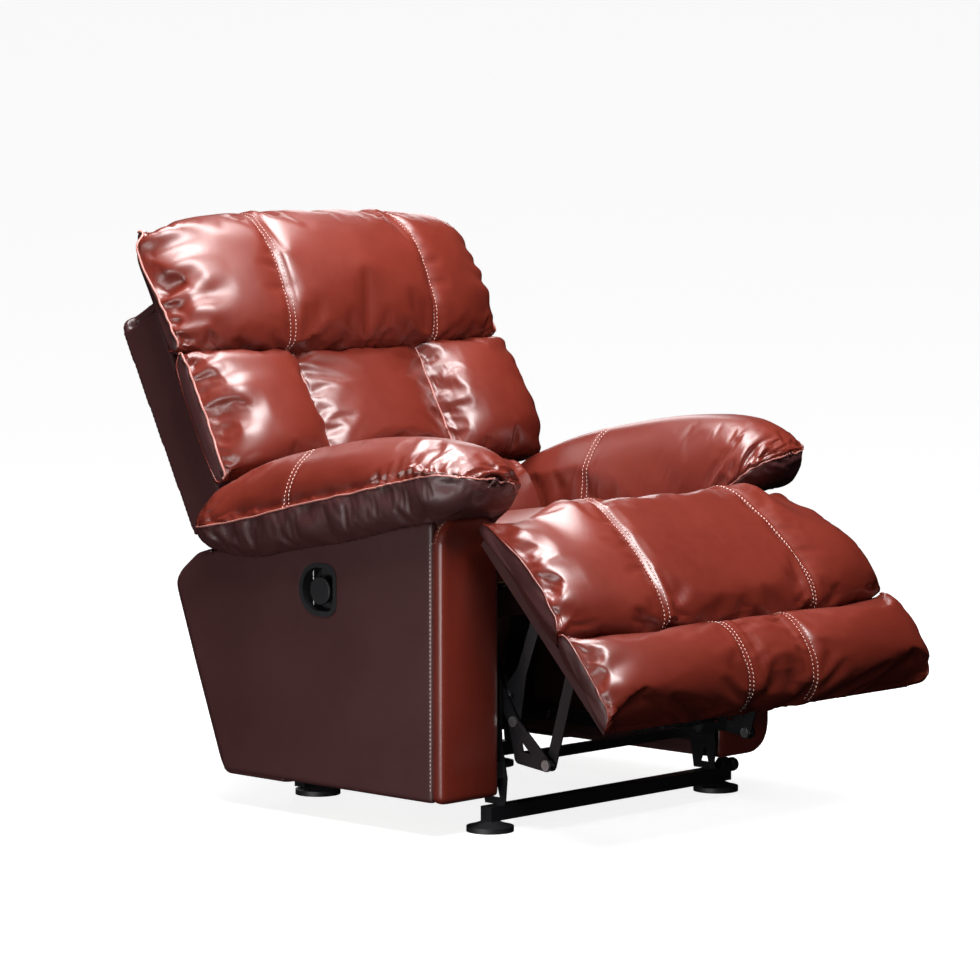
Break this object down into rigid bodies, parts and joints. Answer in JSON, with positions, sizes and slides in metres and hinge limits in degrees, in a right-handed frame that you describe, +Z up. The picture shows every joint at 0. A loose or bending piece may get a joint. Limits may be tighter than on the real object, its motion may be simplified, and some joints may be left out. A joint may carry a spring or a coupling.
{
  "type": "recliner armchair",
  "caption": "Leather recliner armchair with padded arms, a reclining back and a linkage-driven footrest shown part open.",
  "frame": {"origin": "on the floor, under the middle of the chair at rest", "axes": "+Z up, -Y the way the sitter faces, +X the sitter's left"},
  "size_m": [0.934, 1.261, 1.0353],
  "materials": {
    "leather": "glossy red-brown",
    "panel_leather": "satin dark red-brown",
    "steel": "satin black",
    "zinc_steel": "zinc plated",
    "plywood": "raw plywood",
    "black_plastic": "matt black"
  },
  "bodies": {
    "base": {"front_rail": "steel", "rear_rail": "steel", "base_rails": "steel", "front_side_plate_left": "steel", "front_side_plate_right": "steel", "rear_side_plate_left": "steel", "rear_side_plate_right": "steel", "lock_bracket": "steel", "release_hinge_pin": "steel", "side_plate_pins": "zinc_steel", "arm_bolts": "zinc_steel", "seat_springs": "zinc_steel", "glides": "black_plastic", "release_cup": "black_plastic", "seat_rear_rail": "plywood", "arm_frame_left": "plywood", "arm_frame_right": "plywood", "arm_front_left": "leather", "arm_front_right": "leather", "arm_pad_left": "leather", "arm_pad_right": "leather", "seat_cushion": "leather", "seat_side_rails": "panel_leather", "seat_front_rail": "panel_leather", "arm_inner_panel_left": "panel_leather", "arm_inner_panel_right": "panel_leather", "arm_outer_panel_left": "panel_leather", "arm_outer_panel_right": "panel_leather", "rear_panel": "panel_leather"},
    "support_link": {"support_links": "steel"},
    "drive_link": {"drive_links": "steel", "torque_tube": "steel", "drive_link_pins": "zinc_steel"},
    "carrier_link": {"carrier_links": "steel", "carrier_link_pins": "zinc_steel"},
    "toe_link": {"toe_links": "steel", "toe_link_pins": "zinc_steel"},
    "footrest": {"footrest_board": "panel_leather", "footrest_upper_pad": "leather", "footrest_lower_pad": "leather", "footrest_brackets": "steel", "footrest_screws": "zinc_steel"},
    "back": {"head_pillow": "leather", "lumbar_cushion": "leather", "wing_cushion_left": "leather", "wing_cushion_right": "leather", "lower_back_cushion": "leather", "back_posts": "plywood", "back_cross_rails": "plywood", "back_springs": "zinc_steel", "back_brackets": "steel", "back_rear_panel": "panel_leather", "back_lower_panel": "panel_leather", "back_side_panel_left": "panel_leather", "back_side_panel_right": "panel_leather", "back_top_panel": "panel_leather"},
    "release_paddle": {"release_paddle": "black_plastic"},
    "lock_knob": {"lock_knob": "black_plastic"}
  },
  "joints": [
    {"name": "footrest_open", "type": "hinge", "parent": "base", "child": "drive_link", "pos_m": [0, -0.2064, 0.253], "axis": [-1, 0, 0], "range_deg": [-48.4, 38]},
    {"name": "support_swing", "type": "hinge", "parent": "base", "child": "support_link", "pos_m": [0, -0.1744, 0.312], "axis": [-1, 0, 0], "range_deg": [-43.52, 34.26]},
    {"name": "carrier_swing", "type": "hinge", "parent": "drive_link", "child": "carrier_link", "pos_m": [0, -0.2494, 0.184], "axis": [-1, 0, 0], "range_deg": [-44.82, 56.98]},
    {"name": "toe_swing", "type": "hinge", "parent": "drive_link", "child": "toe_link", "pos_m": [0, -0.3244, 0.118], "axis": [-1, 0, 0], "range_deg": [-44.82, 56.98]},
    {"name": "footrest_tilt", "type": "hinge", "parent": "carrier_link", "child": "footrest", "pos_m": [0, -0.3124, 0.399], "axis": [-1, 0, 0], "range_deg": [-56.98, 44.82]},
    {"name": "back_recline", "type": "hinge", "parent": "base", "child": "back", "pos_m": [0, 0.2136, 0.33], "axis": [-1, 0, 0], "range_deg": [-10, 25]},
    {"name": "release_pull", "type": "hinge", "parent": "base", "child": "release_paddle", "pos_m": [-0.407, 0.0796, 0.395], "axis": [0, 0, -1], "range_deg": [0, 20], "stiffness_Nm_per_rad": 0.3},
    {"name": "lock_knob_turn", "type": "hinge", "parent": "base", "child": "lock_knob", "pos_m": [0.33, -0.2219, 0.042], "axis": [1, 0, 0], "continuous": true}
  ],
  "couplings": [
    {"joint": "support_swing", "follows": "footrest_open", "ratio": 0.891},
    {"joint": "carrier_swing", "follows": "footrest_open", "ratio": -1.169},
    {"joint": "toe_swing", "follows": "footrest_open", "ratio": -1.169},
    {"joint": "footrest_tilt", "follows": "footrest_open", "ratio": 1.169}
  ]
}
